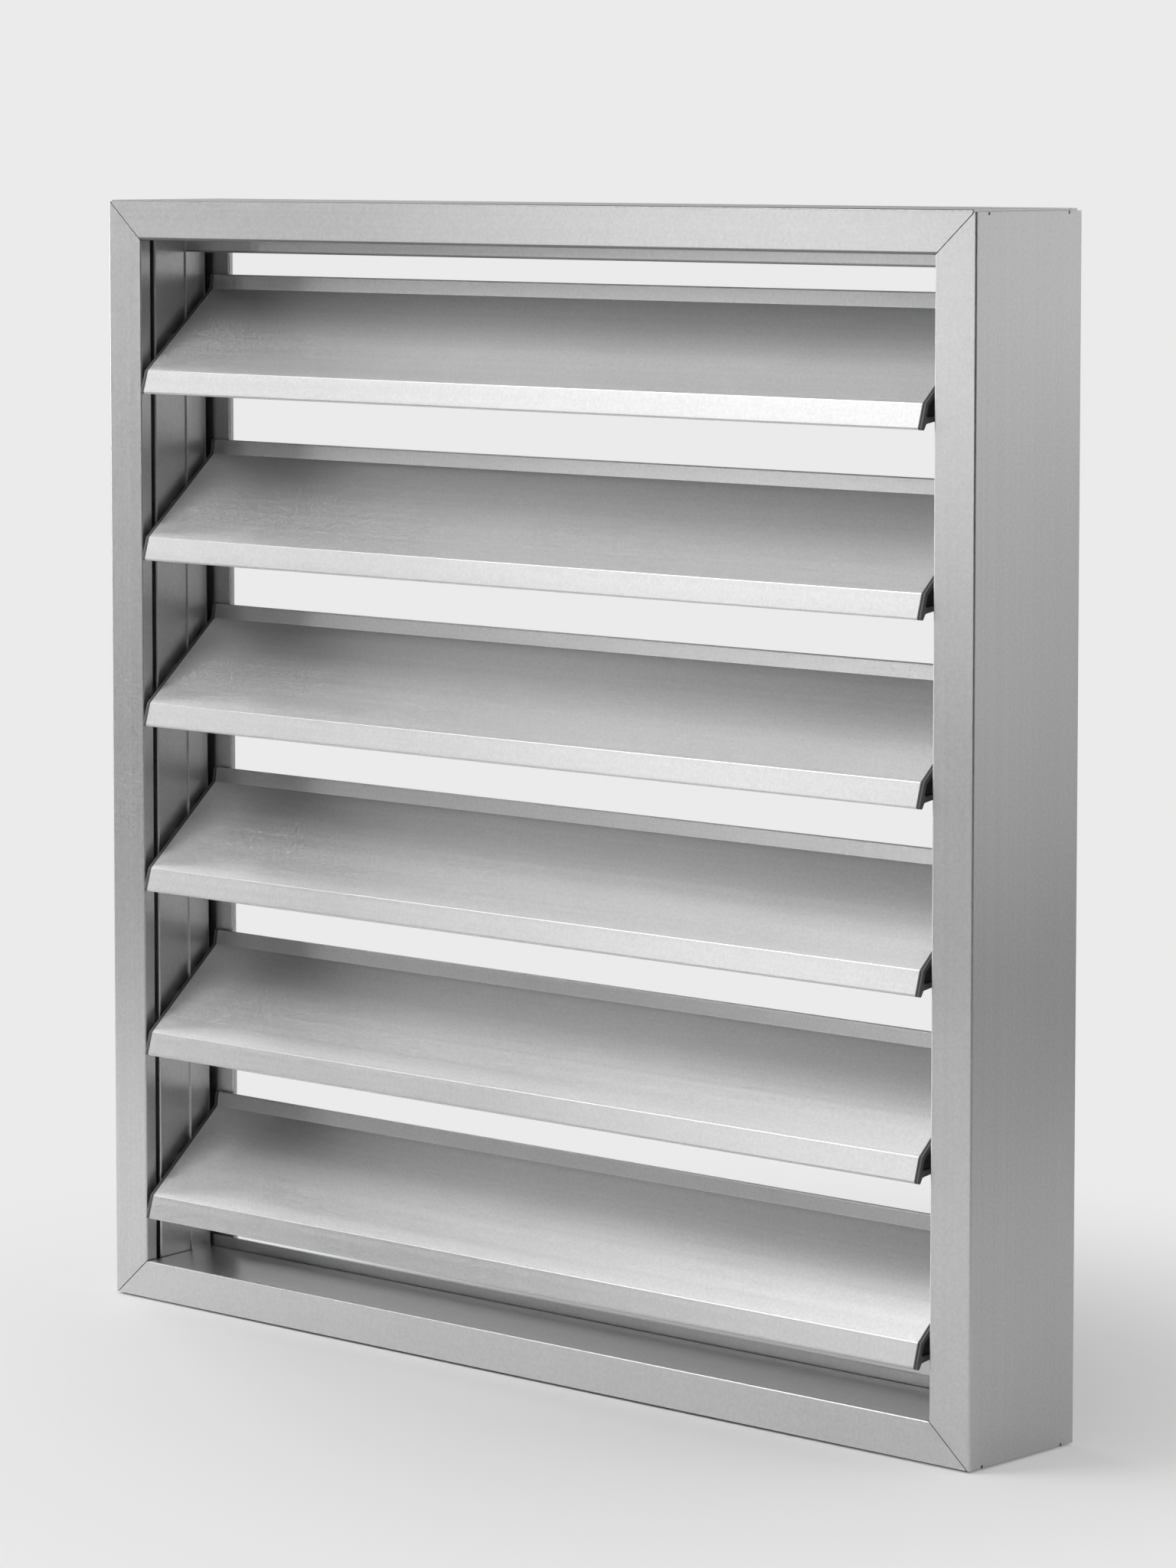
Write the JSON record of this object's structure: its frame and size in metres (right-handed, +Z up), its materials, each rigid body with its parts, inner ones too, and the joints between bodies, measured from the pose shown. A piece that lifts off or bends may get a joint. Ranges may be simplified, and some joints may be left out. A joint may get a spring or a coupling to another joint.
{
  "type": "louvre grille",
  "caption": "Square ventilation grille of extruded aluminium: a mitred frame holding fixed sloped weather blades with drooped noses and dark end caps.",
  "frame": {"origin": "middle of the footprint: under the frame, half way across and half way from the blades' noses to the rear edge", "axes": "+Z up, +X to the right as seen from the front, +Y from the front face to the back"},
  "size_m": [0.6, 0.084, 0.6],
  "materials": {
    "frame_aluminium": "satin anodised, faint extrusion lines",
    "cleat_aluminium": "mill finish",
    "blade_aluminium": "satin anodised, fine bead-blasted grain",
    "cap_plastic": "moulded, dark grey, fine grain",
    "screw_steel": "plain steel"
  },
  "bodies": {
    "root": {"left_stile": "frame_aluminium", "right_stile": "frame_aluminium", "top_rail": "frame_aluminium", "bottom_rail": "frame_aluminium", "corner_cleat_bottom_left": "cleat_aluminium", "corner_cleat_bottom_right": "cleat_aluminium", "corner_cleat_top_left": "cleat_aluminium", "corner_cleat_top_right": "cleat_aluminium", "blade_1": "blade_aluminium", "blade_2": "blade_aluminium", "blade_3": "blade_aluminium", "blade_4": "blade_aluminium", "blade_5": "blade_aluminium", "blade_6": "blade_aluminium", "left_end_cap_1": "cap_plastic", "left_end_cap_2": "cap_plastic", "left_end_cap_3": "cap_plastic", "left_end_cap_4": "cap_plastic", "left_end_cap_5": "cap_plastic", "left_end_cap_6": "cap_plastic", "right_end_cap_1": "cap_plastic", "right_end_cap_2": "cap_plastic", "right_end_cap_3": "cap_plastic", "right_end_cap_4": "cap_plastic", "right_end_cap_5": "cap_plastic", "right_end_cap_6": "cap_plastic", "left_cap_screws": "screw_steel", "right_cap_screws": "screw_steel"}
  },
  "joints": []
}
